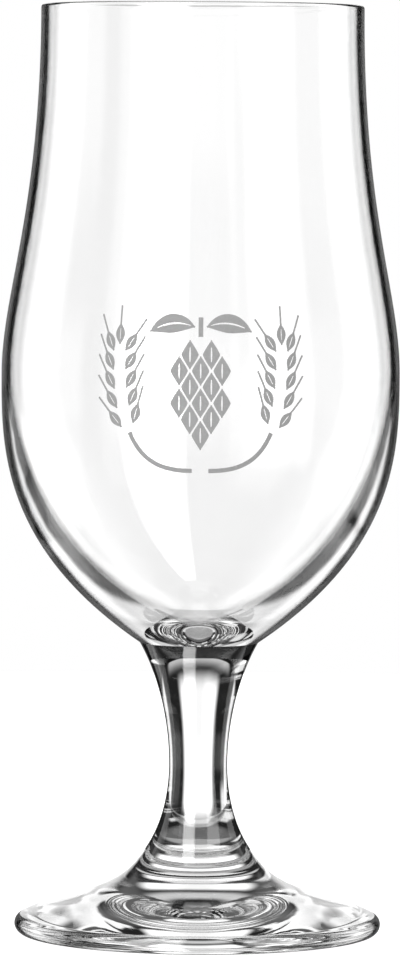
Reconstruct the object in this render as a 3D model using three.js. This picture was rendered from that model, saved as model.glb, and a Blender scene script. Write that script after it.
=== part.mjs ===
// A stemmed beer glass: bowl, stem and foot of clear glass, fused end to end,
// with a hop and barley ornament fired on the front of the bowl in grey enamel.
// Millimetres, +Z up. The origin is on the table, under the middle of the foot.
// The ornament faces -Y.
import * as THREE from "three";

// Heights above the table
const GLASS_HEIGHT = 178;
const BELLY_HEIGHT = 107.4;
const BOWL_JOINT_HEIGHT = 56;
const NECK_HEIGHT = 32.6;
const FOOT_JOINT_HEIGHT = 16.2;

// Outer radii
const RIM_RADIUS = 30.85;
const BELLY_RADIUS = 38.1;
const BOWL_JOINT_RADIUS = 11.35;
const NECK_RADIUS = 5.6;
const FOOT_JOINT_RADIUS = 10.1;
const FOOT_RADIUS = 35.2;
const FOOT_EDGE_RADIUS = 1.9;

// Thickness of the glass, and the hollow under the foot
const RIM_WALL = 1.4;
const BELLY_WALL = 1.6;
const BOWL_FLOOR = 2;
const REST_RING_WIDTH = 3;
const FOOT_HOLLOW = 3;

// Slopes of the outline against the table, in degrees
const BOWL_JOINT_SLOPE = 34.2;
const STEM_TOP_SLOPE = 60.4;
const FLARE_SLOPE = 58.6;
const FOOT_EDGE_SLOPE = 26;
const UPRIGHT = 90;
const LEVEL = 0;

// Pulls: how long a curve keeps its direction at an end, as a share of the way between its ends
const BOWL_JOINT_PULL = 0.56;
const BELLY_PULL_BELOW = 0.24;
const BELLY_PULL_ABOVE = 0.224;
const RIM_PULL = 0.562;
const CAVITY_FLOOR_PULL = 0.06;
const CAVITY_BELLY_PULL = 0.6;
const STEM_TOP_PULL = 0.31;
const NECK_PULL_ABOVE = 0.33;
const NECK_PULL_BELOW = 0.6;
const FLARE_PULL_ABOVE = 0.06;
const FLARE_PULL_BELOW = 0.4;
const FOOT_EDGE_PULL = 0.39;

// Facets, and how finely points are told apart and found
const TURN_SEGMENTS = 48;
const CURVE_STEPS = 9;
const ROUND_STEPS = 6;
const SAME_POINT = 1e-6;
const HALVINGS = 40;

// Enamel layer on the bowl, and the middle of the ornament below the belly's widest line
const ENAMEL_GAP = 0.1;
const ENAMEL_THICKNESS = 0.15;
const ORNAMENT_DROP = 2;
const POINT_HALF_WIDTH = 0.12;

// Hop cone: pointed bracts in staggered rows, counted from the tip of the cone up
const HOP_ROWS = [1, 2, 3, 2, 3, 2];
const HOP_FIRST_ROW = -8;
const BRACT_LENGTH = 5.4;
const BRACT_HALF_WIDTH = 1.62;
const BRACT_ROUNDNESS = 1.2;
const BRACT_SIDE_GAP = 0.76;
const BRACT_ROW_GAP = 0.3;
const BRACT_STEPS = 8;

// Hop stalk and its two leaves
const STALK_GAP = 0.6;
const STALK_LENGTH = 3.6;
const STALK_HALF_WIDTH = 0.45;
const STALK_STEPS = 2;
const LEAF_GAP = 0.65;
const LEAF_LENGTH = 8.6;
const LEAF_LIFT = 1.8;
const LEAF_DROOP = 0.9;
const LEAF_HALF_WIDTH = 1.75;
const LEAF_ROUNDNESS = 2;
const LEAF_STEPS = 8;

// Barley: grains in pairs along the upper part of a curved straw, each grain with an awn
const GRAIN_PAIRS = 5;
const GRAIN_LENGTH = 3.9;
const GRAIN_HALF_WIDTH = 0.9;
const GRAIN_OVERLAP = 0.4;
const GRAIN_OFFSET = 1.2;
const AWN_LENGTH = 3.3;
const AWN_HALF_WIDTH = 0.16;
const OUTER_SPREAD = 22;
const INNER_SPREAD = 34;
const GRAIN_STEPS = 8;
const EAR_CLEARANCE = 0.7;
const STRAW_APART = 1.6;
const STRAW_FOOT_HEIGHT = -14.6;
const STRAW_BEND_WIDTH = 6;
const STRAW_BEND_HEIGHT = -12;
const STRAW_TOP_HEIGHT = 7.6;
const STRAW_HALF_WIDTH = 0.4;
const STRAW_GAP = 1.4;
const STRAW_STEPS = 10;

const clearGlass = new THREE.MeshStandardMaterial({
  color: 0xf3f6f5,
  roughness: 0.03,
  metalness: 0,
  transparent: true,
  opacity: 0.35,
});
const greyEnamel = new THREE.MeshStandardMaterial({
  color: 0xadadad,
  roughness: 0.55,
  metalness: 0,
});

const glass = new THREE.Group();

// A unit step along a slope, outwards and up for a slope between 0 and 90 degrees
function along(slope) {
  const angle = THREE.MathUtils.degToRad(slope);
  return new THREE.Vector2(Math.cos(angle), Math.sin(angle));
}

// A curve of the outline that leaves its start and reaches its end along the given slopes
function sweep(start, end) {
  const way = start.at.distanceTo(end.at);
  const leave = start.at.clone().addScaledVector(along(start.slope), start.pull * way);
  const arrive = end.at.clone().addScaledVector(along(end.slope), -end.pull * way);
  return new THREE.CubicBezierCurve(start.at, leave, arrive, end.at);
}

// An arc around a middle point, between two angles in degrees, turning towards larger angles
function roundEdge(middle, radius, from, to) {
  const start = THREE.MathUtils.degToRad(from);
  const end = THREE.MathUtils.degToRad(to);
  return new THREE.ArcCurve(middle.x, middle.y, radius, start, end, false);
}

// Turns an outline of radius and height about the upright axis
function turnedPiece(name, outline) {
  const geometry = new THREE.LatheGeometry(outline, TURN_SEGMENTS);
  geometry.rotateX(Math.PI / 2);
  const piece = new THREE.Mesh(geometry, clearGlass);
  piece.name = name;
  glass.add(piece);
}

// Joins curves to one outline, without the double point where two meet
function joined(...stretches) {
  const points = [];
  for (const stretch of stretches) {
    for (const point of stretch) {
      const last = points.at(-1);
      if (!last || last.distanceTo(point) > SAME_POINT) {
        points.push(point);
      }
    }
  }
  return points;
}

const bowlJoint = new THREE.Vector2(BOWL_JOINT_RADIUS, BOWL_JOINT_HEIGHT);
const belly = new THREE.Vector2(BELLY_RADIUS, BELLY_HEIGHT);
const rimMiddle = new THREE.Vector2(RIM_RADIUS - RIM_WALL / 2, GLASS_HEIGHT - RIM_WALL / 2);
const rimOutside = new THREE.Vector2(RIM_RADIUS, rimMiddle.y);
const rimInside = new THREE.Vector2(RIM_RADIUS - RIM_WALL, rimMiddle.y);

const lowerBowl = sweep(
  { at: bowlJoint, slope: BOWL_JOINT_SLOPE, pull: BOWL_JOINT_PULL },
  { at: belly, slope: UPRIGHT, pull: BELLY_PULL_BELOW },
);
const upperBowl = sweep(
  { at: belly, slope: UPRIGHT, pull: BELLY_PULL_ABOVE },
  { at: rimOutside, slope: UPRIGHT, pull: RIM_PULL },
);

// Bowl: a thin wall that thickens below the belly towards the joint, with a fire-polished rim
function addBowl() {
  const cavityFloor = new THREE.Vector2(0, BOWL_JOINT_HEIGHT + BOWL_FLOOR);
  const cavityBelly = new THREE.Vector2(BELLY_RADIUS - BELLY_WALL, BELLY_HEIGHT);
  const lowerCavity = sweep(
    { at: cavityFloor, slope: LEVEL, pull: CAVITY_FLOOR_PULL },
    { at: cavityBelly, slope: UPRIGHT, pull: CAVITY_BELLY_PULL },
  );
  const upperCavity = sweep(
    { at: cavityBelly, slope: UPRIGHT, pull: BELLY_PULL_ABOVE },
    { at: rimInside, slope: UPRIGHT, pull: RIM_PULL },
  );
  const outline = joined(
    [new THREE.Vector2(0, BOWL_JOINT_HEIGHT), bowlJoint],
    lowerBowl.getPoints(CURVE_STEPS),
    upperBowl.getPoints(CURVE_STEPS),
    roundEdge(rimMiddle, RIM_WALL / 2, 0, 180).getPoints(ROUND_STEPS),
    upperCavity.getPoints(CURVE_STEPS).reverse(),
    lowerCavity.getPoints(CURVE_STEPS).reverse(),
  );
  turnedPiece("bowl", outline);
}

const footJoint = new THREE.Vector2(FOOT_JOINT_RADIUS, FOOT_JOINT_HEIGHT);

// Stem: solid, waisted at the neck, with a flat fused face at each end
function addStem() {
  const neck = new THREE.Vector2(NECK_RADIUS, NECK_HEIGHT);
  const flare = sweep(
    { at: footJoint, slope: 180 - FLARE_SLOPE, pull: FLARE_PULL_ABOVE },
    { at: neck, slope: UPRIGHT, pull: NECK_PULL_BELOW },
  );
  const upperStem = sweep(
    { at: neck, slope: UPRIGHT, pull: NECK_PULL_ABOVE },
    { at: bowlJoint, slope: STEM_TOP_SLOPE, pull: STEM_TOP_PULL },
  );
  const outline = joined(
    [new THREE.Vector2(0, FOOT_JOINT_HEIGHT)],
    flare.getPoints(CURVE_STEPS),
    upperStem.getPoints(CURVE_STEPS),
    [new THREE.Vector2(0, BOWL_JOINT_HEIGHT)],
  );
  turnedPiece("stem", outline);
}

// Foot: carries the stem's flare on to a rounded edge, and rests on a flat ring around a shallow hollow
function addFoot() {
  const edgeMiddle = new THREE.Vector2(FOOT_RADIUS - FOOT_EDGE_RADIUS, FOOT_EDGE_RADIUS);
  const edge = roundEdge(edgeMiddle, FOOT_EDGE_RADIUS, -90, 90 - FOOT_EDGE_SLOPE);
  const ringInside = new THREE.Vector2(edgeMiddle.x - REST_RING_WIDTH, 0);
  const hollowTop = new THREE.Vector2(0, FOOT_HOLLOW);
  const hollowShoulder = new THREE.Vector2(ringInside.x / 2, FOOT_HOLLOW);
  const hollow = new THREE.QuadraticBezierCurve(hollowTop, hollowShoulder, ringInside);
  const topFace = sweep(
    { at: edge.getPoint(1), slope: 180 - FOOT_EDGE_SLOPE, pull: FOOT_EDGE_PULL },
    { at: footJoint, slope: 180 - FLARE_SLOPE, pull: FLARE_PULL_BELOW },
  );
  const outline = joined(
    hollow.getPoints(ROUND_STEPS),
    edge.getPoints(ROUND_STEPS),
    topFace.getPoints(CURVE_STEPS),
    [new THREE.Vector2(0, FOOT_JOINT_HEIGHT)],
  );
  turnedPiece("foot", outline);
}

// Outer radius of the bowl at a height, found by halving the stretch of curve that holds it
function bowlRadiusAt(height) {
  const curve = height < BELLY_HEIGHT ? lowerBowl : upperBowl;
  let low = 0;
  let high = 1;
  for (let i = 0; i < HALVINGS; i += 1) {
    const middle = (low + high) / 2;
    if (curve.getPoint(middle).y < height) {
      low = middle;
    } else {
      high = middle;
    }
  }
  return curve.getPoint(low).x;
}

// A place of the flat ornament, sideways and up from its middle, laid on the front of the bowl
function onBowl(place, lift) {
  const height = BELLY_HEIGHT - ORNAMENT_DROP + place.y;
  const radius = bowlRadiusAt(height) + lift;
  const angle = place.x / BELLY_RADIUS;
  return [radius * Math.sin(angle), -radius * Math.cos(angle), height];
}

// One island of enamel: a strip along a line, three points wide, with a skin under it and over it
function enamelIsland(name, line, halfWidth, steps) {
  const positions = [];
  for (const lift of [ENAMEL_GAP, ENAMEL_GAP + ENAMEL_THICKNESS]) {
    for (let i = 0; i <= steps; i += 1) {
      const middle = line.getPoint(i / steps);
      const tangent = line.getTangent(i / steps);
      const across = new THREE.Vector2(tangent.y, -tangent.x).multiplyScalar(halfWidth(i / steps));
      for (const side of [-1, 0, 1]) {
        positions.push(...onBowl(middle.clone().addScaledVector(across, side), lift));
      }
    }
  }
  const corner = (layer, i, column) => (layer * (steps + 1) + i) * 3 + column;
  const triangles = [];
  const addFour = (a, b, c, d) => triangles.push(a, b, c, a, c, d);
  for (let i = 0; i < steps; i += 1) {
    for (const column of [0, 1]) {
      const next = column + 1;
      addFour(corner(1, i, column), corner(1, i, next), corner(1, i + 1, next), corner(1, i + 1, column));
      addFour(corner(0, i, column), corner(0, i + 1, column), corner(0, i + 1, next), corner(0, i, next));
    }
    addFour(corner(0, i, 0), corner(1, i, 0), corner(1, i + 1, 0), corner(0, i + 1, 0));
    addFour(corner(0, i, 2), corner(0, i + 1, 2), corner(1, i + 1, 2), corner(1, i, 2));
  }
  for (const column of [0, 1]) {
    const next = column + 1;
    const end = steps;
    addFour(corner(0, 0, column), corner(0, 0, next), corner(1, 0, next), corner(1, 0, column));
    addFour(corner(0, end, column), corner(1, end, column), corner(1, end, next), corner(0, end, next));
  }
  const geometry = new THREE.BufferGeometry();
  geometry.setAttribute("position", new THREE.Float32BufferAttribute(positions, 3));
  geometry.setIndex(triangles);
  geometry.computeVertexNormals();
  const island = new THREE.Mesh(geometry, greyEnamel);
  island.name = name;
  glass.add(island);
}

// Half widths along a strip, from its start at 0 to its end at 1. A roundness of 1 is a lozenge.
function pointedAtBothEnds(halfWidth, roundness) {
  return (share) => {
    const fromMiddle = Math.abs(2 * share - 1);
    return Math.max(POINT_HALF_WIDTH, halfWidth * (1 - fromMiddle ** roundness));
  };
}

function evenWidth(halfWidth) {
  return () => halfWidth;
}

function grainWithAwn(share) {
  const travelled = share * (GRAIN_LENGTH + AWN_LENGTH);
  const bulge = GRAIN_HALF_WIDTH * Math.sin(Math.PI * Math.min(travelled / GRAIN_LENGTH, 1));
  return Math.max(AWN_HALF_WIDTH, bulge);
}

// Hop cone, from the tip up
const bractPitch = 2 * BRACT_HALF_WIDTH + BRACT_SIDE_GAP;
const hopRowRise = BRACT_LENGTH / 2 + BRACT_ROW_GAP;

function addHopCone() {
  const bractWidth = pointedAtBothEnds(BRACT_HALF_WIDTH, BRACT_ROUNDNESS);
  HOP_ROWS.forEach((count, row) => {
    const middle = HOP_FIRST_ROW + row * hopRowRise;
    for (let i = 0; i < count; i += 1) {
      const sideways = (i - (count - 1) / 2) * bractPitch;
      const tip = new THREE.Vector2(sideways, middle - BRACT_LENGTH / 2);
      const top = new THREE.Vector2(sideways, middle + BRACT_LENGTH / 2);
      const line = new THREE.LineCurve(tip, top);
      enamelIsland(`hop_bract_${row + 1}_${i + 1}`, line, bractWidth, BRACT_STEPS);
    }
  });
}

// Stalk above the cone, and a leaf to each side of it
const leafRoot = STALK_HALF_WIDTH + LEAF_GAP;
const leafReach = leafRoot + LEAF_LENGTH;

function addHopLeaves() {
  const coneTop = HOP_FIRST_ROW + (HOP_ROWS.length - 1) * hopRowRise + BRACT_LENGTH / 2;
  const stalkFoot = new THREE.Vector2(0, coneTop + STALK_GAP);
  const stalkTop = new THREE.Vector2(0, stalkFoot.y + STALK_LENGTH);
  const stalk = new THREE.LineCurve(stalkFoot, stalkTop);
  enamelIsland("hop_stalk", stalk, evenWidth(STALK_HALF_WIDTH), STALK_STEPS);
  const leafWidth = pointedAtBothEnds(LEAF_HALF_WIDTH, LEAF_ROUNDNESS);
  const leafHeight = stalkFoot.y + STALK_LENGTH / 2;
  for (const [side, word] of [[-1, "left"], [1, "right"]]) {
    const root = new THREE.Vector2(side * leafRoot, leafHeight);
    const bend = new THREE.Vector2(side * (leafRoot + leafReach) / 2, leafHeight + LEAF_LIFT);
    const tip = new THREE.Vector2(side * leafReach, leafHeight - LEAF_DROOP);
    const line = new THREE.QuadraticBezierCurve(root, bend, tip);
    enamelIsland(`hop_leaf_${word}`, line, leafWidth, LEAF_STEPS);
  }
}

// One ear of barley, which curves up beside the hop cone and keeps its awns clear of the leaf
function addBarley(side, word) {
  const grainReach = GRAIN_LENGTH + AWN_LENGTH;
  const awnReach = GRAIN_OFFSET + grainReach * Math.sin(THREE.MathUtils.degToRad(INNER_SPREAD));
  const earMiddle = leafReach + EAR_CLEARANCE + awnReach;
  const straw = new THREE.CubicBezierCurve(
    new THREE.Vector2(side * STRAW_APART, STRAW_FOOT_HEIGHT),
    new THREE.Vector2(side * (earMiddle - STRAW_BEND_WIDTH), STRAW_FOOT_HEIGHT),
    new THREE.Vector2(side * earMiddle, STRAW_BEND_HEIGHT),
    new THREE.Vector2(side * earMiddle, STRAW_TOP_HEIGHT),
  );
  const addGrain = (name, root, heading) => {
    const end = root.clone().addScaledVector(heading, grainReach);
    enamelIsland(name, new THREE.LineCurve(root, end), grainWithAwn, GRAIN_STEPS);
  };
  const strawLength = straw.getLength();
  const grainPitch = GRAIN_LENGTH - GRAIN_OVERLAP;
  const hands = [[side, "outer", OUTER_SPREAD], [-side, "inner", INNER_SPREAD]];
  for (let pair = 1; pair <= GRAIN_PAIRS; pair += 1) {
    const share = 1 - (pair - 1) * grainPitch / strawLength;
    const tangent = straw.getTangentAt(share);
    const across = new THREE.Vector2(tangent.y, -tangent.x);
    for (const [hand, label, spread] of hands) {
      const root = straw.getPointAt(share).addScaledVector(across, hand * GRAIN_OFFSET);
      const turn = THREE.MathUtils.degToRad(-hand * spread);
      const heading = tangent.clone().rotateAround(new THREE.Vector2(), turn);
      addGrain(`barley_${word}_grain_${label}_${pair}`, root, heading);
    }
  }
  const tipRoot = straw.getPoint(1).addScaledVector(straw.getTangent(1), GRAIN_OFFSET);
  addGrain(`barley_${word}_grain_tip`, tipRoot, straw.getTangent(1));
  const strawEnd = 1 - ((GRAIN_PAIRS - 1) * grainPitch + STRAW_GAP) / strawLength;
  const strawPoints = [];
  for (let i = 0; i <= STRAW_STEPS; i += 1) {
    strawPoints.push(straw.getPointAt(strawEnd * i / STRAW_STEPS));
  }
  const strawLine = new THREE.SplineCurve(strawPoints);
  enamelIsland(`barley_${word}_straw`, strawLine, evenWidth(STRAW_HALF_WIDTH), STRAW_STEPS);
}

addBowl();
addStem();
addFoot();
addHopCone();
addHopLeaves();
addBarley(-1, "left");
addBarley(1, "right");

export default glass;
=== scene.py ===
# %% [markdown]
# # A stemmed beer glass
#
# The real object is blown and pressed from clear glass: a thin tulip-shaped bowl, a short waisted stem and
# a round foot, melted together, with a grey ornament fired on the front of the bowl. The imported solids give
# the sizes, but they are faceted, and clear glass shows every facet. So each piece is made again here,
# finely, over the solid that it stands for.

import math

import bmesh
import bpy
import numpy as np
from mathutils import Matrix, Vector


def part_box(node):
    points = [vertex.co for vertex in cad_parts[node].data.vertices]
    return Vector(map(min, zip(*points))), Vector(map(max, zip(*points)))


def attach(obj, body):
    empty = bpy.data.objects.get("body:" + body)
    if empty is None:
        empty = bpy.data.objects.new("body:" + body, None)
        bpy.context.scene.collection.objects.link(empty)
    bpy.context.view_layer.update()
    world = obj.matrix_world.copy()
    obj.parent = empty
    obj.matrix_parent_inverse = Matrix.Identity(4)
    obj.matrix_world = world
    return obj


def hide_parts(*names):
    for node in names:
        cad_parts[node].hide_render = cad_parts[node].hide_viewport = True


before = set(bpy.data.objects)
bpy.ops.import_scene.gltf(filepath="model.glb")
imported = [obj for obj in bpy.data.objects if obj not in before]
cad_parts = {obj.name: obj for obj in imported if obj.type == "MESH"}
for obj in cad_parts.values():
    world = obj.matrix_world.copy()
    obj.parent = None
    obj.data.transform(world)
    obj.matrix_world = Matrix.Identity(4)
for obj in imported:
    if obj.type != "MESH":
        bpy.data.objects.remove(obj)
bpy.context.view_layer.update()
MM = 0.001


# %% [markdown]
# ## Turning glass from an outline
#
# A glass is round, so half of its outline says everything. One could spin a chain of straight edges, or
# turn a Bézier curve. The curve is chosen, because a few knots with handles give a line without corners,
# and clear glass magnifies corners. A handle is given by its slope and its pull: the share of the way to
# the next knot for which the line keeps that slope.

# %% Stretches of an outline
QUARTER_TURN = 90


def knot(radius, height):
    return Vector((radius, 0, height))


def along(slope):
    """A unit step along a slope in degrees: 0 is level outwards, and 90 is straight up."""
    return Vector((math.cos(math.radians(slope)), 0, math.sin(math.radians(slope))))


def sweep(start, leave, end, arrive):
    """A curved stretch between two knots. leave and arrive are each a slope and a pull."""
    way = (end - start).length
    return start, start + along(leave[0]) * leave[1] * way, end - along(arrive[0]) * arrive[1] * way, end


def straight(start, end):
    """A straight stretch between two knots, which has no handles."""
    return start, None, None, end


def arc_pull(turn):
    """The pull that makes a sweep a round arc, which turns by that many degrees."""
    angle = math.radians(turn)
    return 4 / 3 * math.tan(angle / 4) / (2 * math.sin(angle / 2))


quarter_pull = arc_pull(QUARTER_TURN)
print("pull of a quarter circle:", round(quarter_pull, 3))

# %% Drawing an outline
CURVE_POINTS = 48


def draw_outline(name, stretches):
    """Draw the stretches as one Bézier curve, and make it a chain of edges."""
    bpy.ops.object.select_all(action="DESELECT")
    bpy.ops.curve.primitive_bezier_curve_add(location=(0, 0, 0))
    outline = bpy.context.object
    outline.name = name
    outline.data.resolution_u = CURVE_POINTS
    points = outline.data.splines[0].bezier_points
    points.add(len(stretches) + 1 - len(points))
    for before, after, (start, leave, arrive, end) in zip(points, points[1:], stretches):
        before.co, after.co = start, end
        kind = "FREE" if leave else "VECTOR"
        before.handle_right_type = after.handle_left_type = kind
        if leave:
            before.handle_right, after.handle_left = leave, arrive
    bpy.ops.object.convert(target="MESH")
    return bpy.context.object


print("points on a curved stretch:", CURVE_POINTS)

# %% Turning an outline
TURN_STEPS = 256
SAME_PLACE = 1e-7
CREASE_ANGLE = math.radians(25)


def turn_piece(name, stretches):
    """Turn an outline that starts and ends on the axis into a closed, smooth piece."""
    piece = draw_outline(name, stretches)
    bpy.ops.object.modifier_add(type="SCREW")
    screw = piece.modifiers[-1]
    screw.steps = screw.render_steps = TURN_STEPS
    screw.use_merge_vertices = True
    screw.merge_threshold = SAME_PLACE
    bpy.ops.object.modifier_apply(modifier=screw.name)
    bpy.ops.object.mode_set(mode="EDIT")
    bpy.ops.mesh.select_all(action="SELECT")
    bpy.ops.mesh.remove_doubles(threshold=SAME_PLACE)
    bpy.ops.mesh.normals_make_consistent(inside=False)
    bpy.ops.object.mode_set(mode="OBJECT")
    bpy.ops.object.shade_smooth_by_angle(angle=CREASE_ANGLE)
    print(name, "faces:", len(piece.data.polygons), "height in mm:", round(piece.dimensions.z / MM, 2))
    return piece


print("steps to a turn:", TURN_STEPS)

# %% [markdown]
# ## Bowl
#
# The bowl is blown into a mould: thin at the fire-polished rim, a little thicker at the belly, and thicker
# still towards the joint, where the gather of glass was, with a thin floor over the stem. One could turn
# the outside alone and thicken it with Solidify, but that gives one even wall. So the outline holds both
# sides: it runs from the crease at the stem over the belly to the rim, round the rim, and down inside to
# the floor.

# %% Knots of the bowl
BELLY_HEIGHT = 107.4 * MM
RIM_RADIUS = 30.85 * MM
RIM_WALL = 1.4 * MM
BELLY_WALL = 1.6 * MM
BOWL_FLOOR = 2 * MM
bowl_low, bowl_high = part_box("bowl")
stem_low, stem_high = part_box("stem")
bowl_joint = knot(stem_high.x, bowl_low.z)
belly = knot(bowl_high.x, BELLY_HEIGHT)
rim_outside = knot(RIM_RADIUS, bowl_high.z - RIM_WALL / 2)
rim_top = knot(RIM_RADIUS - RIM_WALL / 2, bowl_high.z)
rim_inside = knot(RIM_RADIUS - RIM_WALL, rim_outside.z)
cavity_belly = knot(belly.x - BELLY_WALL, BELLY_HEIGHT)
cavity_floor = knot(0, bowl_joint.z + BOWL_FLOOR)
print("belly and joint radius in mm:", round(belly.x / MM, 2), round(bowl_joint.x / MM, 2))

# %% Bowl
UPRIGHT = 90
INWARDS = 180
BOWL_JOINT_SLOPE = 34.2
BOWL_JOINT_PULL = 0.56
BELLY_PULL_BELOW = 0.24
BELLY_PULL_ABOVE = 0.224
RIM_PULL = 0.562
CAVITY_BELLY_PULL = 0.6
CAVITY_FLOOR_PULL = 0.06
lower_bowl = sweep(bowl_joint, (BOWL_JOINT_SLOPE, BOWL_JOINT_PULL), belly, (UPRIGHT, BELLY_PULL_BELOW))
upper_bowl = sweep(belly, (UPRIGHT, BELLY_PULL_ABOVE), rim_outside, (UPRIGHT, RIM_PULL))
bowl = turn_piece("clear_bowl", [
    straight(knot(0, bowl_joint.z), bowl_joint),
    lower_bowl,
    upper_bowl,
    sweep(rim_outside, (UPRIGHT, quarter_pull), rim_top, (INWARDS, quarter_pull)),
    sweep(rim_top, (INWARDS, quarter_pull), rim_inside, (-UPRIGHT, quarter_pull)),
    sweep(rim_inside, (-UPRIGHT, RIM_PULL), cavity_belly, (-UPRIGHT, BELLY_PULL_ABOVE)),
    sweep(cavity_belly, (-UPRIGHT, CAVITY_BELLY_PULL), cavity_floor, (INWARDS, CAVITY_FLOOR_PULL)),
])

# %% [markdown]
# ## Stem
#
# The stem is solid glass, drawn out while it is soft, so it is thinnest at the neck and flares to both
# ends. One could extrude it from the bowl's mesh. As a piece of its own it keeps its own outline, and its
# two flat ends show where it is melted to the bowl and to the foot.

# %% Stem
NECK_HEIGHT = 32.6 * MM
NECK_RADIUS = 5.6 * MM
FOOT_JOINT_RADIUS = 10.1 * MM
FLARE_SLOPE = 58.6
STEM_TOP_SLOPE = 60.4
FLARE_PULL_ABOVE = 0.06
NECK_PULL_BELOW = 0.6
NECK_PULL_ABOVE = 0.33
STEM_TOP_PULL = 0.31
flare_slope_up = INWARDS - FLARE_SLOPE
foot_joint = knot(FOOT_JOINT_RADIUS, stem_low.z)
neck = knot(NECK_RADIUS, NECK_HEIGHT)
stem = turn_piece("clear_stem", [
    straight(knot(0, foot_joint.z), foot_joint),
    sweep(foot_joint, (flare_slope_up, FLARE_PULL_ABOVE), neck, (UPRIGHT, NECK_PULL_BELOW)),
    sweep(neck, (UPRIGHT, NECK_PULL_ABOVE), bowl_joint, (STEM_TOP_SLOPE, STEM_TOP_PULL)),
    straight(bowl_joint, knot(0, bowl_joint.z)),
])

# %% [markdown]
# ## Foot
#
# The foot is pressed from a hot lump and carries the stem's flare out to a rounded edge. It stands on a
# flat ring around a shallow hollow, so that it doesn't rock. One could cut the hollow with a Boolean.
# Turned in the same outline, it meets the ring without stray edges, which glass would show.

# %% Knots of the foot
EDGE_RADIUS = 1.9 * MM
EDGE_SLOPE = 26
RING_WIDTH = 3 * MM
HOLLOW = 3 * MM
foot_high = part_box("foot")[1]
edge_turn = INWARDS - EDGE_SLOPE
edge_middle = knot(foot_high.x - EDGE_RADIUS, EDGE_RADIUS)
edge_low = edge_middle + along(-UPRIGHT) * EDGE_RADIUS
edge_out = edge_middle + along(edge_turn / 2 - UPRIGHT) * EDGE_RADIUS
edge_top = edge_middle + along(edge_turn - UPRIGHT) * EDGE_RADIUS
ring_inside = edge_low - Vector((RING_WIDTH, 0, 0))
print("ring in mm, from and to radius:", round(ring_inside.x / MM, 2), round(edge_low.x / MM, 2))

# %% Foot
LEVEL = 0
HOLLOW_PULL = 1 / 3
FOOT_EDGE_PULL = 0.39
FLARE_PULL_BELOW = 0.4
edge_pull = arc_pull(edge_turn / 2)
hollow_slope = -math.degrees(math.atan2(HOLLOW, ring_inside.x / 2))
foot = turn_piece("clear_foot", [
    sweep(knot(0, HOLLOW), (LEVEL, HOLLOW_PULL), ring_inside, (hollow_slope, HOLLOW_PULL)),
    straight(ring_inside, edge_low),
    sweep(edge_low, (LEVEL, edge_pull), edge_out, (edge_turn / 2, edge_pull)),
    sweep(edge_out, (edge_turn / 2, edge_pull), edge_top, (edge_turn, edge_pull)),
    sweep(edge_top, (edge_turn, FOOT_EDGE_PULL), foot_joint, (flare_slope_up, FLARE_PULL_BELOW)),
    straight(foot_joint, knot(0, foot_joint.z)),
])

# %% [markdown]
# ## Stencils for the enamel
#
# The ornament is a hop cone between two ears of barley, screened on the bowl and fired. Its islands come in
# five forms: bract, leaf, stalk, grain and straw. One could draw each island on the bowl. Here each form is
# cut once, flat, as a printer cuts a stencil: a grid whose rows are scaled to the form's width. The veins
# and the grains' creases are left open, as slits in the middle column of the grid.

# %% Cut a stencil
COLUMNS = 11
GRID_HALF = 1
NO_SLIT = (0, 0)


def cut_stencil(name, length, rows, half_width, slit=NO_SLIT):
    """A flat strip from the origin along +Y. Its slit lies between two shares of its length."""
    bpy.ops.object.select_all(action="DESELECT")
    bpy.ops.mesh.primitive_grid_add(
        x_subdivisions=COLUMNS, y_subdivisions=rows, size=2 * GRID_HALF, location=(0, 0, 0)
    )
    strip = bpy.context.object
    strip.name = name
    bpy.ops.object.mode_set(mode="EDIT")
    bpy.ops.transform.translate(value=(0, GRID_HALF, 0))
    bpy.ops.transform.resize(value=(1, length / (2 * GRID_HALF), 1), center_override=(0, 0, 0))
    mesh = bmesh.from_edit_mesh(strip.data)
    for row in range(rows + 1):
        bpy.ops.mesh.select_all(action="DESELECT")
        for vert in mesh.verts:
            vert.select_set(round(vert.co.y / length * rows) == row)
        bpy.ops.transform.resize(value=(half_width(row / rows), 1, 1), center_override=(0, 0, 0))
    bpy.ops.mesh.select_all(action="DESELECT")
    for face in mesh.faces:
        middle = face.calc_center_median()
        in_column = abs(middle.x) < SAME_PLACE
        face.select_set(in_column and slit[0] < middle.y / length < slit[1])
    bpy.ops.mesh.delete(type="FACE")
    bpy.ops.object.mode_set(mode="OBJECT")
    print(name, "in mm:", round(strip.dimensions.x / MM, 2), round(strip.dimensions.y / MM, 2))
    return strip


print("columns of a stencil:", COLUMNS)

# %% Stencils of the hop
POINT_HALF_WIDTH = 0.12 * MM
BRACT_LENGTH = 5.4 * MM
BRACT_HALF_WIDTH = 1.62 * MM
BRACT_ROUNDNESS = 1.2
BRACT_ROWS = 24
BRACT_VEIN = (0.25, 0.75)
LEAF_LENGTH = 8.6 * MM
LEAF_HALF_WIDTH = 1.75 * MM
LEAF_ROUNDNESS = 2
LEAF_ROWS = 32
LEAF_VEIN = (0.08, 0.85)
STALK_LENGTH = 3.6 * MM
STALK_HALF_WIDTH = 0.45 * MM
STALK_ROWS = 6


def pointed(half_width, roundness):
    """Half widths of a form with a point at both ends. A roundness of 1 is a lozenge."""
    return lambda share: max(POINT_HALF_WIDTH, half_width * (1 - abs(2 * share - 1) ** roundness))


def even(half_width):
    """The same half width from end to end."""
    return lambda share: half_width


bract_width = pointed(BRACT_HALF_WIDTH, BRACT_ROUNDNESS)
leaf_width = pointed(LEAF_HALF_WIDTH, LEAF_ROUNDNESS)
bract_stencil = cut_stencil("bract_stencil", BRACT_LENGTH, BRACT_ROWS, bract_width, BRACT_VEIN)
leaf_stencil = cut_stencil("leaf_stencil", LEAF_LENGTH, LEAF_ROWS, leaf_width, LEAF_VEIN)
stalk_stencil = cut_stencil("stalk_stencil", STALK_LENGTH, STALK_ROWS, even(STALK_HALF_WIDTH))

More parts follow.
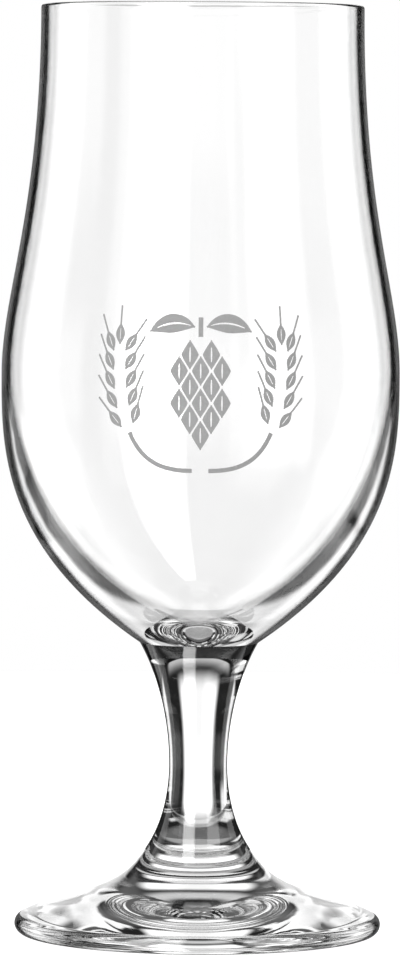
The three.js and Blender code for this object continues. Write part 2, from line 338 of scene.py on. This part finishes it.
# %% Stencils of the barley
GRAIN_LENGTH = 3.9 * MM
GRAIN_HALF_WIDTH = 0.9 * MM
GRAIN_ROWS = 32
CREASE_MARGIN = 0.12
AWN_LENGTH = 3.3 * MM
AWN_HALF_WIDTH = 0.16 * MM
STRAW_HALF_WIDTH = 0.4 * MM
STRAW_ROWS = 48
UNIT_LENGTH = 1
grain_reach = GRAIN_LENGTH + AWN_LENGTH
grain_share = GRAIN_LENGTH / grain_reach
crease = (CREASE_MARGIN, grain_share - CREASE_MARGIN)


def grain_width(share):
    """Half widths of a grain, which runs out in an awn."""
    return max(AWN_HALF_WIDTH, GRAIN_HALF_WIDTH * math.sin(math.pi * min(share / grain_share, 1)))


grain_stencil = cut_stencil("grain_stencil", grain_reach, GRAIN_ROWS, grain_width, crease)
# A straw's length is only known when it is laid, so its stencil has a length of one.
straw_stencil = cut_stencil("straw_stencil", UNIT_LENGTH, STRAW_ROWS, even(STRAW_HALF_WIDTH))

# %% [markdown]
# ## Laying the enamel on the bowl
#
# A flat drawing has places to the side and up from its middle. On the bowl, sideways becomes a turn about
# the axis, and up becomes a height, at the radius that the bowl's own outline has there. One could project
# the drawing with Shrinkwrap, but that squeezes it towards the sides. So every copy of a stencil follows
# its line of the drawing point by point, and a Solidify modifier gives the layer its thickness.

# %% From the drawing to the bowl
ORNAMENT_DROP = 2 * MM
ENAMEL_SINK = 0.02 * MM
OUTLINE_SAMPLES = 200


def points_along(stretch, samples):
    """Points of a curved stretch, from its start to its end."""
    start, leave, arrive, end = stretch
    points = []
    for i in range(samples + 1):
        share = i / samples
        rest = 1 - share
        handles = leave * 3 * rest**2 * share + arrive * 3 * rest * share**2
        points.append(start * rest**3 + handles + end * share**3)
    return points


outline_points = points_along(lower_bowl, OUTLINE_SAMPLES) + points_along(upper_bowl, OUTLINE_SAMPLES)
outline_heights = [point.z for point in outline_points]
outline_radii = [point.x for point in outline_points]


def on_bowl(spot):
    """A spot of the drawing, as a point just under the bowl's surface."""
    height = BELLY_HEIGHT - ORNAMENT_DROP + spot.y
    radius = np.interp(height, outline_heights, outline_radii) - ENAMEL_SINK
    angle = spot.x / belly.x
    return radius * math.sin(angle), -radius * math.cos(angle), height


print("middle of the drawing in mm:", [round(value / MM, 2) for value in on_bowl(Vector((0, 0)))])

# %% Laying and firing
HEADING_STEP = 1e-4
ENAMEL_THICKNESS = 0.06 * MM


def lay(stencil, name, line):
    """Lay a copy of a stencil on the bowl along a line, which gives spots from share 0 to 1."""
    bpy.ops.object.select_all(action="DESELECT")
    stencil.select_set(True)
    bpy.context.view_layer.objects.active = stencil
    bpy.ops.object.duplicate()
    island = bpy.context.object
    island.name = name
    length = stencil.dimensions.y
    for vert in island.data.vertices:
        share = vert.co.y / length
        before, after = max(share - HEADING_STEP, 0), min(share + HEADING_STEP, 1)
        heading = (line(after) - line(before)).normalized()
        across = Vector((heading.y, -heading.x))
        vert.co = on_bowl(line(share) + across * vert.co.x)
    return island


def fire(name, islands):
    """Join islands to one piece of enamel, and give it its thickness."""
    bpy.ops.object.select_all(action="DESELECT")
    for island in islands:
        island.select_set(True)
    bpy.context.view_layer.objects.active = islands[0]
    bpy.ops.object.join()
    piece = bpy.context.object
    piece.name = name
    bpy.ops.object.modifier_add(type="SOLIDIFY")
    layer = piece.modifiers[-1]
    layer.thickness = ENAMEL_THICKNESS
    layer.offset = 1
    bpy.ops.object.modifier_apply(modifier=layer.name)
    print(name, "islands:", len(islands), "faces:", len(piece.data.polygons))
    return piece


print("enamel thickness in mm:", ENAMEL_THICKNESS / MM)

# %% [markdown]
# ## Hop cone, stalk and leaves
#
# A hop cone is a stack of bracts that lie over each other like scales. A print in one colour can't show
# that, so the bracts stand apart in staggered rows, with bare glass between them. One could place each by
# hand. A loop over the rows keeps the gaps even. The leaves follow a bent line on both sides of the stalk.

# %% Hop cone
HOP_ROWS = (1, 2, 3, 2, 3, 2)
HOP_FIRST_ROW = -8 * MM
BRACT_SIDE_GAP = 0.76 * MM
BRACT_ROW_GAP = 0.3 * MM
bract_pitch = 2 * BRACT_HALF_WIDTH + BRACT_SIDE_GAP
hop_row_rise = BRACT_LENGTH / 2 + BRACT_ROW_GAP


def line_between(start, end):
    return lambda share: start.lerp(end, share)


bracts = []
bract_nodes = []
for row, count in enumerate(HOP_ROWS):
    tip_height = HOP_FIRST_ROW + row * hop_row_rise - BRACT_LENGTH / 2
    for i in range(count):
        tip = Vector(((i - (count - 1) / 2) * bract_pitch, tip_height))
        line = line_between(tip, tip + Vector((0, BRACT_LENGTH)))
        bracts.append(lay(bract_stencil, "bract", line))
        bract_nodes.append(f"hop_bract_{row + 1}_{i + 1}")
hop_cone = fire("enamel_hop_cone", bracts)

# %% Hop stalk and leaves
STALK_GAP = 0.6 * MM
LEAF_GAP = 0.65 * MM
LEAF_LIFT = 1.8 * MM
LEAF_DROOP = 0.9 * MM
cone_top = HOP_FIRST_ROW + (len(HOP_ROWS) - 1) * hop_row_rise + BRACT_LENGTH / 2
stalk_foot = Vector((0, cone_top + STALK_GAP))
stalk_line = line_between(stalk_foot, stalk_foot + Vector((0, STALK_LENGTH)))
leaf_height = stalk_foot.y + STALK_LENGTH / 2
leaf_root = STALK_HALF_WIDTH + LEAF_GAP
leaf_reach = leaf_root + LEAF_LENGTH


def leaf_line(side):
    """The bent middle line of a leaf, on the left for side -1 and on the right for 1."""
    root = Vector((side * leaf_root, leaf_height))
    bend = Vector((side * (leaf_root + leaf_reach) / 2, leaf_height + LEAF_LIFT))
    tip = Vector((side * leaf_reach, leaf_height - LEAF_DROOP))
    return lambda share: root.lerp(bend, share).lerp(bend.lerp(tip, share), share)


hop_leaves = fire("enamel_hop_leaves", [
    lay(stalk_stencil, "stalk", stalk_line),
    lay(leaf_stencil, "leaf", leaf_line(-1)),
    lay(leaf_stencil, "leaf", leaf_line(1)),
])

# %% [markdown]
# ## Ears of barley
#
# Each ear is a straw that curves up beside the cone, with pairs of grains along its upper part and a grain
# at its tip. One could mirror the finished left ear, but a mirrored mesh is inside out. So the right ear is
# laid in the same way, with the other side.

# %% Line of a straw
STRAW_APART = 1.6 * MM
STRAW_FOOT_HEIGHT = -14.6 * MM
STRAW_BEND_WIDTH = 6 * MM
STRAW_BEND_HEIGHT = -12 * MM
STRAW_TOP_HEIGHT = 7.6 * MM
STRAW_SAMPLES = 400
EAR_CLEARANCE = 0.7 * MM
GRAIN_OFFSET = 1.2 * MM
INNER_SPREAD = 34
awn_reach = GRAIN_OFFSET + grain_reach * math.sin(math.radians(INNER_SPREAD))
ear_middle = leaf_reach + EAR_CLEARANCE + awn_reach


def straw_curve(side):
    """The length of a straw's curve, and a function that gives the spot after a way along it."""
    points = points_along((
        Vector((side * STRAW_APART, STRAW_FOOT_HEIGHT)),
        Vector((side * (ear_middle - STRAW_BEND_WIDTH), STRAW_FOOT_HEIGHT)),
        Vector((side * ear_middle, STRAW_BEND_HEIGHT)),
        Vector((side * ear_middle, STRAW_TOP_HEIGHT)),
    ), STRAW_SAMPLES)
    travelled = [0]
    for before, after in zip(points, points[1:]):
        travelled.append(travelled[-1] + (after - before).length)
    across = [point.x for point in points]
    up = [point.y for point in points]

    def straw_at(way):
        return Vector((np.interp(way, travelled, across), np.interp(way, travelled, up)))

    return travelled[-1], straw_at


print("from the cone's middle to an ear's in mm:", round(ear_middle / MM, 2))

# %% Ears of barley
GRAIN_PAIRS = 5
GRAIN_OVERLAP = 0.4 * MM
OUTER_SPREAD = 22
STRAW_GAP = 1.4 * MM
TANGENT_STEP = 0.1 * MM
grain_pitch = GRAIN_LENGTH - GRAIN_OVERLAP


def lay_ear(side, word):
    """Lay and fire an ear, on the left for side -1 and on the right for 1, and name its solids."""
    length, straw_at = straw_curve(side)
    islands = []
    names = []

    def lay_grain(name, root, heading):
        islands.append(lay(grain_stencil, "grain", line_between(root, root + heading * grain_reach)))
        names.append(f"barley_{word}_grain_{name}")

    for pair in range(GRAIN_PAIRS):
        way = length - pair * grain_pitch
        tangent = (straw_at(way) - straw_at(way - TANGENT_STEP)).normalized()
        sideways = Vector((tangent.y, -tangent.x))
        for hand, label, spread in ((side, "outer", OUTER_SPREAD), (-side, "inner", INNER_SPREAD)):
            turn = math.radians(hand * spread)
            heading = tangent * math.cos(turn) + sideways * math.sin(turn)
            lay_grain(f"{label}_{pair + 1}", straw_at(way) + sideways * hand * GRAIN_OFFSET, heading)
    lay_grain("tip", straw_at(length) + Vector((0, GRAIN_OFFSET)), Vector((0, 1)))
    straw_length = length - (GRAIN_PAIRS - 1) * grain_pitch - STRAW_GAP
    islands.append(lay(straw_stencil, "straw", lambda share: straw_at(share * straw_length)))
    names.append(f"barley_{word}_straw")
    return fire(f"enamel_barley_{word}", islands), names


barley_left, left_nodes = lay_ear(-1, "left")
barley_right, right_nodes = lay_ear(1, "right")
for stencil in (bract_stencil, leaf_stencil, stalk_stencil, grain_stencil, straw_stencil):
    bpy.data.objects.remove(stencil)

# %% [markdown]
# ## An uneven finish
#
# No real surface is quite even: hot glass sets with a slow wave, and screened enamel keeps the grain of its
# powder. One could build a noise in each material. Both need the same nodes, so they are built once, as a
# node group: a noise on the object's own coordinates, put out as a roughness between two bounds and as a
# height for a Bump node.

# %% Uneven finish node group
NOISE_DETAIL = 3


def place(tree, kind, inputs=None, **settings):
    """Place a shader node. An input is a number, a colour, or the output of another node."""
    node = tree.nodes.new("ShaderNode" + kind)
    for setting, value in settings.items():
        setattr(node, setting, value)
    for socket, value in (inputs or {}).items():
        if isinstance(value, bpy.types.NodeSocket):
            tree.links.new(value, node.inputs[socket])
        else:
            node.inputs[socket].default_value = value
    return node


uneven_finish = bpy.data.node_groups.new("uneven_finish", "ShaderNodeTree")
for name in ("Scale", "Smoothest", "Roughest"):
    uneven_finish.interface.new_socket(name, in_out="INPUT", socket_type="NodeSocketFloat")
for name in ("Roughness", "Height"):
    uneven_finish.interface.new_socket(name, in_out="OUTPUT", socket_type="NodeSocketFloat")
given = uneven_finish.nodes.new("NodeGroupInput").outputs
coordinates = place(uneven_finish, "TexCoord").outputs["Object"]
noise = place(uneven_finish, "TexNoise", {
    "Vector": coordinates, "Scale": given["Scale"], "Detail": NOISE_DETAIL,
}).outputs["Fac"]
roughness = place(uneven_finish, "MapRange", {
    "Value": noise, "To Min": given["Smoothest"], "To Max": given["Roughest"],
}).outputs["Result"]
put_out = uneven_finish.nodes.new("NodeGroupOutput").inputs
uneven_finish.links.new(roughness, put_out["Roughness"])
uneven_finish.links.new(noise, put_out["Height"])
print("uneven_finish nodes:", len(uneven_finish.nodes))

# %% [markdown]
# ## Clear glass
#
# Glass has no colour of its own to speak of: what one sees is the room, bent and mirrored. One could mix a
# refraction and a glossy shader. A Principled shader with full transmission does both, in the right shares.
# The uneven finish adds the slow wave of hot glass, a few hundredths of a millimetre high.

# %% Clear glass material
GLASS_IOR = 1.52
WAVES_PER_METRE = 55
WAVE_HEIGHT = 0.04 * MM
GLASS_SMOOTHEST = 0
GLASS_ROUGHEST = 0.015


def grey(brightness):
    return brightness, brightness, brightness, 1


WHITE = grey(1)


def make_glass(name):
    material = bpy.data.materials.new(name)
    material.use_nodes = True
    tree = material.node_tree
    finish = place(tree, "Group", {
        "Scale": WAVES_PER_METRE, "Smoothest": GLASS_SMOOTHEST, "Roughest": GLASS_ROUGHEST,
    }, node_tree=uneven_finish).outputs
    wave = place(tree, "Bump", {"Height": finish["Height"], "Distance": WAVE_HEIGHT})
    shader = tree.nodes["Principled BSDF"]
    shader.inputs["Base Color"].default_value = WHITE
    shader.inputs["Transmission Weight"].default_value = 1
    shader.inputs["IOR"].default_value = GLASS_IOR
    tree.links.new(finish["Roughness"], shader.inputs["Roughness"])
    tree.links.new(wave.outputs["Normal"], shader.inputs["Normal"])
    print(name, "nodes:", len(tree.nodes))
    return material


clear_glass = make_glass("clear_glass")

# %% [markdown]
# ## Painted dark outline of the glass
#
# A studio photographs clear glass before a white screen, with black cards at both sides. The cards show
# where the surface turns away, as a dark line round the outline. One could set up cards for one camera, but
# then the line is lost from every other side. So the line is painted shade instead: the outside of the glass
# has a coat that doesn't mirror and has a dark tint, a painted reflection of the cards, and Layer Weight
# brings it in only where the surface is seen at a grazing angle from outside.

# %% Painted dark outline material
# The dark tint of this coat is painted shade: a painted reflection of black cards, not a colour of the glass.
PAINTED_OUTLINE_STARTS = 0.69
PAINTED_OUTLINE_FULL = 0.76
PAINTED_OUTLINE_WEIGHT = 0.88
PAINTED_OUTLINE_TINT = 0.3
NO_MIRROR_IOR = 1
glass_painted_outline = make_glass("clear_glass_painted_outline")
painted_outline_tree = glass_painted_outline.node_tree
grazing = place(painted_outline_tree, "LayerWeight").outputs["Facing"]
edge = place(painted_outline_tree, "MapRange", {
    "Value": grazing, "From Min": PAINTED_OUTLINE_STARTS, "From Max": PAINTED_OUTLINE_FULL, "To Max": PAINTED_OUTLINE_WEIGHT,
}, interpolation_type="SMOOTHSTEP").outputs["Result"]
inside = place(painted_outline_tree, "NewGeometry").outputs["Backfacing"]
painted_outline_mask = place(painted_outline_tree, "Math", {0: edge, 1: inside}, operation="SUBTRACT", use_clamp=True)
painted_outline_shader = painted_outline_tree.nodes["Principled BSDF"]
painted_outline_tree.links.new(painted_outline_mask.outputs[0], painted_outline_shader.inputs["Coat Weight"])
painted_outline_shader.inputs["Coat Roughness"].default_value = 0
painted_outline_shader.inputs["Coat IOR"].default_value = NO_MIRROR_IOR
painted_outline_shader.inputs["Coat Tint"].default_value = grey(PAINTED_OUTLINE_TINT)
print("nodes with the dark edge:", len(painted_outline_tree.nodes))

# %% [markdown]
# ## Melted joints
#
# Where two pieces are melted together there is no surface any more. One could join the meshes and delete
# the faces between them. The pieces stay apart here, so their touching faces get a material that lets light
# straight through. Every other face is clear glass, with the painted dark outline on the bowl's outside, the
# stem and the rounded edge of the foot.

# %% Melted joint material
fused_glass = bpy.data.materials.new("fused_glass")
fused_glass.use_nodes = True
fused_tree = fused_glass.node_tree
fused_tree.nodes.remove(fused_tree.nodes["Principled BSDF"])
see_through = place(fused_tree, "BsdfTransparent").outputs[0]
fused_tree.links.new(see_through, fused_tree.nodes["Material Output"].inputs["Surface"])
print("fused_glass nodes:", len(fused_tree.nodes))

# %% Which face is which glass
RIM_FACES_UP = 0.7
GLASSES = (clear_glass, fused_glass, glass_painted_outline)


def is_fused(piece, face, joints):
    """Whether all corners of a face lie at the height of a joint."""
    heights = [piece.data.vertices[i].co.z for i in face.vertices]
    return any(abs(max(heights) - z) < SAME_PLACE and abs(min(heights) - z) < SAME_PLACE for z in joints)


# Faces that carry the painted dark outline, the painted reflection of black cards.
def has_painted_outline(piece, face):
    middle, normal = face.center, face.normal
    if piece is bowl:
        return middle.x * normal.x + middle.y * normal.y > 0 and normal.z < RIM_FACES_UP
    if piece is foot:
        return middle.xy.length > edge_middle.x and middle.z < edge_top.z
    return True


def glass_of(piece, face, joints):
    if is_fused(piece, face, joints):
        return fused_glass
    return glass_painted_outline if has_painted_outline(piece, face) else clear_glass


for piece, joints in ((bowl, [bowl_joint.z]), (stem, [bowl_joint.z, foot_joint.z]), (foot, [foot_joint.z])):
    for material in GLASSES:
        piece.data.materials.append(material)
    for face in piece.data.polygons:
        face.material_index = GLASSES.index(glass_of(piece, face, joints))
    counts = np.bincount([face.material_index for face in piece.data.polygons], minlength=len(GLASSES))
    print(piece.name, "faces clear, fused, edged:", counts.tolist())

# %% [markdown]
# ## Grey enamel
#
# The ornament is a matt enamel: glass powder and grey pigment, screened on and fired until it just melts.
# One could give it one grey, but then it looks like paper. It keeps the fine grain of its powder, so its
# grey, its roughness and its height all vary by the uneven finish, at a scale of a few tenths of a
# millimetre.

# %% Grey enamel material
GRAINS_PER_METRE = 3500
GRAIN_HEIGHT = 0.004 * MM
ENAMEL_SMOOTHEST = 0.45
ENAMEL_ROUGHEST = 0.75
ENAMEL_DARK = 0.33
ENAMEL_LIGHT = 0.45
ENAMEL_SPECULAR = 0.12
grey_enamel = bpy.data.materials.new("grey_enamel")
grey_enamel.use_nodes = True
enamel_tree = grey_enamel.node_tree
powder = place(enamel_tree, "Group", {
    "Scale": GRAINS_PER_METRE, "Smoothest": ENAMEL_SMOOTHEST, "Roughest": ENAMEL_ROUGHEST,
}, node_tree=uneven_finish).outputs
shade = place(enamel_tree, "ValToRGB", {"Fac": powder["Height"]})
for stop, brightness in zip(shade.color_ramp.elements, (ENAMEL_DARK, ENAMEL_LIGHT)):
    stop.color = grey(brightness)
grain = place(enamel_tree, "Bump", {"Height": powder["Height"], "Distance": GRAIN_HEIGHT})
enamel_shader = enamel_tree.nodes["Principled BSDF"]
enamel_shader.inputs["Specular IOR Level"].default_value = ENAMEL_SPECULAR
enamel_tree.links.new(shade.outputs["Color"], enamel_shader.inputs["Base Color"])
enamel_tree.links.new(powder["Roughness"], enamel_shader.inputs["Roughness"])
enamel_tree.links.new(grain.outputs["Normal"], enamel_shader.inputs["Normal"])
for piece in (hop_cone, hop_leaves, barley_left, barley_right):
    piece.data.materials.append(grey_enamel)
print("grey_enamel nodes:", len(enamel_tree.nodes))

# %% [markdown]
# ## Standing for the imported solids
#
# Nothing moves on this glass, so every piece rides on the one body of the frame. Each piece says which
# solids it stands for, which hides them, and which finish of the record it has.

# %% Ride on the frame
for piece, solids, finish in (
    (bowl, ["bowl"], "clear_glass"),
    (stem, ["stem"], "clear_glass"),
    (foot, ["foot"], "clear_glass"),
    (hop_cone, bract_nodes, "grey_enamel"),
    (hop_leaves, ["hop_stalk", "hop_leaf_left", "hop_leaf_right"], "grey_enamel"),
    (barley_left, left_nodes, "grey_enamel"),
    (barley_right, right_nodes, "grey_enamel"),
):
    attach(piece, "root")
    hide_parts(*solids)
    print(piece.name, "stands for", len(solids), "solids")

# %% [markdown]
# ## Floor
#
# The glass stands on a plain white table without a visible shadow. One could light a white disc until it
# burns out, but that light would flood the glass. So the disc glows as white as the background and is
# hidden from the rays inside the glass, which get the table's light from the studio below.

# %% Floor
FLOOR_RADIUS = 0.6
FLOOR_DEPTH = 0.2 * MM
FLOOR_SIDES = 96
FLOOR_GREY = 0.9
FLOOR_GLOW = 1
bpy.ops.object.select_all(action="DESELECT")
bpy.ops.mesh.primitive_circle_add(
    vertices=FLOOR_SIDES, radius=FLOOR_RADIUS, fill_type="NGON", location=(0, 0, -FLOOR_DEPTH)
)
floor = bpy.context.object
floor.name = "pale_floor"
pale = bpy.data.materials.new("pale_floor")
pale.use_nodes = True
pale_shader = pale.node_tree.nodes["Principled BSDF"]
pale_shader.inputs["Base Color"].default_value = grey(FLOOR_GREY)
pale_shader.inputs["Emission Color"].default_value = WHITE
pale_shader.inputs["Emission Strength"].default_value = FLOOR_GLOW
floor.data.materials.append(pale)
floor.visible_transmission = floor.visible_glossy = floor.visible_diffuse = False
print("floor radius in m:", FLOOR_RADIUS)

# %% [markdown]
# ## Studio light
#
# Clear glass is lit by what stands around it: large bright panels, and dark gaps between them that draw the
# forms. One could hang lamps and cards in the scene. Here they are painted on the world by azimuth and
# height, because the glass only ever sees their directions. First come the helpers that read a direction,
# then the panel, which is given in degrees, and then the panels of this studio.

# %% Directions in the studio
world = bpy.data.worlds.new("studio")
bpy.context.scene.world = world
world.use_nodes = True
studio = world.node_tree
studio.nodes.clear()
# Bent and mirrored rays find the panels by themselves, so no extra rays are aimed at the world.
world.cycles.sampling_method = "NONE"


def calculate(operation, first, second=0.0):
    return place(studio, "Math", {0: first, 1: second}, operation=operation).outputs[0]


def fade(value, start, end, at_start, at_end):
    """A smooth step from at_start to at_end, while value goes from start to end."""
    step = {"Value": value, "From Min": start, "From Max": end, "To Min": at_start, "To Max": at_end}
    return place(studio, "MapRange", step, interpolation_type="SMOOTHSTEP").outputs["Result"]


direction = place(studio, "SeparateXYZ", {0: place(studio, "TexCoord").outputs["Generated"]}).outputs
azimuth = calculate("ARCTAN2", direction["X"], direction["Y"])
height = calculate("ARCSINE", direction["Z"])
print("direction nodes:", len(studio.nodes))

# %% A panel of light
PANEL_EDGE = 3.5
PANEL_END = 6


def panel(middle, half_width, low, high, strength):
    """A soft-edged panel: azimuth 0 is straight behind the glass, 90 to the right, and heights go up."""
    turned = place(studio, "Math", {
        0: calculate("SUBTRACT", azimuth, math.radians(middle)), 1: math.pi, 2: -math.pi,
    }, operation="WRAP").outputs[0]
    inner, outer = math.radians(half_width - PANEL_EDGE), math.radians(half_width + PANEL_EDGE)
    across = fade(calculate("ABSOLUTE", turned), inner, outer, strength, 0)
    above = fade(height, math.radians(low - PANEL_END), math.radians(low + PANEL_END), 0, 1)
    below = fade(height, math.radians(high - PANEL_END), math.radians(high + PANEL_END), 1, 0)
    return calculate("MULTIPLY", calculate("MULTIPLY", across, above), below)


print("soft edge and end of a panel in degrees:", PANEL_EDGE, PANEL_END)

# %% Panels of this studio
ROOM_LIGHT = 0.02
# Straight down is -90. A lower end past it leaves nothing of the panel's soft end in sight.
NO_LOWER_END = -100
# For each panel: its middle, half its width, its lower and its upper end, and its strength.
PANELS = {
    "screen behind": (0, 20, -26, 19, 1.7),
    "its weaker middle": (0, 6, -26, 19, -0.39),
    "foot of the screen": (0, 17, -54, -24, 0.95),
    "table behind": (0, 70, NO_LOWER_END, -54, 0.3),
    "front": (180, 22, -14, 25, 0.8),
    "front left": (-140, 20, -30, 40, 1.1),
    "front right": (140, 16, -30, 5, 1.1),
    "left behind": (-66, 13, -34, 30, 1.5),
    "right behind": (66, 13, -34, 30, 1.5),
    "above the screen": (0, 34, 29, 45, 0.8),
    "left": (-90, 16, -18, 12, 1.15),
    "low left behind": (-49, 11, -40, -17, 1.2),
}
light = ROOM_LIGHT
for measures in PANELS.values():
    light = calculate("ADD", light, panel(*measures))
print("panels:", ", ".join(PANELS))

# %% [markdown]
# ## Table, softboxes and background
#
# A white table sends light up into the foot and the lower bowl. Two tall softboxes in front are mirrored as
# white streaks down the bowl and the stem. They are far brighter than the rest, and if every ray saw them,
# they would flood the inside of the glass, so only rays that were mirrored once do. The matt enamel needs
# light from the front, which glass would mirror as a veil, so only diffuse rays see that fill. The camera
# sees plain white.

# %% Table and softboxes
TABLE_STARTS = -56
TABLE_ENDS = -44
TABLE_GLOW = 0.16
LEFT_SOFTBOX = (-152, 18, -80, 65, 11)
RIGHT_SOFTBOX = (131, 19, -20, 50, 4)
FRONT_FILL = (180, 70, -40, 70, 0.95)
table = fade(height, math.radians(TABLE_STARTS), math.radians(TABLE_ENDS), TABLE_GLOW, 0)
softboxes = calculate("ADD", panel(*LEFT_SOFTBOX), panel(*RIGHT_SOFTBOX))
front_fill = panel(*FRONT_FILL)
print("studio nodes:", len(studio.nodes))

# %% What each ray sees
# A ray comes to the world with a depth of 2 after one mirror, and of 3 after two.
ONE_MIRROR = 2.5
PANEL_GREY = 0.8
rays = place(studio, "LightPath").outputs
mirrored = calculate("MULTIPLY", rays["Is Reflection Ray"], rays["Is Glossy Ray"])
mirrored_once = calculate("MULTIPLY", mirrored, calculate("LESS_THAN", rays["Ray Depth"], ONE_MIRROR))
streaks = calculate("MULTIPLY", softboxes, mirrored_once)
fill = calculate("MULTIPLY", front_fill, rays["Is Diffuse Ray"])
for part in (table, streaks, fill):
    light = calculate("ADD", light, part)
lit = place(studio, "Background", {"Color": grey(PANEL_GREY), "Strength": light}).outputs[0]
seen = place(studio, "Background", {"Color": WHITE}).outputs[0]
choice = place(studio, "MixShader", {0: rays["Is Camera Ray"], 1: lit, 2: seen}).outputs[0]
place(studio, "OutputWorld", {"Surface": choice})
print("studio nodes:", len(studio.nodes))

# %% [markdown]
# ## Camera
#
# The camera stands more than a metre away at the height of the upper bowl, and looks slightly down: the rim
# is nearly a straight line, and the foot shows as an ellipse. One could choose a lens and then move the
# camera to fit. Here the lens follows from how many millimetres one pixel covers at the glass. Light is
# mirrored many times inside solid glass, and a path that is cut short turns black, so the limits on bounces
# are raised.

# %% Camera and light paths
IMAGE_HEIGHT = 956
MM_PER_PIXEL = 0.1916
CAMERA_DISTANCE = 1200 * MM
CAMERA_HEIGHT = 150.7 * MM
AIM_HEIGHT = 87.54 * MM
ROLL = math.radians(0.366)
LIGHT_BOUNCES = 32
camera_data = bpy.data.cameras.new("camera")
camera = bpy.data.objects.new("camera", camera_data)
bpy.context.scene.collection.objects.link(camera)
camera.location = (0, -CAMERA_DISTANCE, CAMERA_HEIGHT)
look = Vector((0, 0, AIM_HEIGHT)) - camera.location
camera.rotation_euler = look.to_track_quat("-Z", "Y").to_euler()
camera.rotation_euler.rotate_axis("Z", ROLL)
# The picture is taller than wide, so the sensor's width lies along its height.
camera_data.lens = camera_data.sensor_width * look.length / (IMAGE_HEIGHT * MM_PER_PIXEL * MM)
bpy.context.scene.camera = camera
bpy.context.scene.view_settings.view_transform = "Standard"
cycles = bpy.context.scene.cycles
cycles.max_bounces = cycles.glossy_bounces = cycles.transmission_bounces = LIGHT_BOUNCES
cycles.transparent_max_bounces = LIGHT_BOUNCES
print("lens in mm:", round(camera_data.lens, 1))
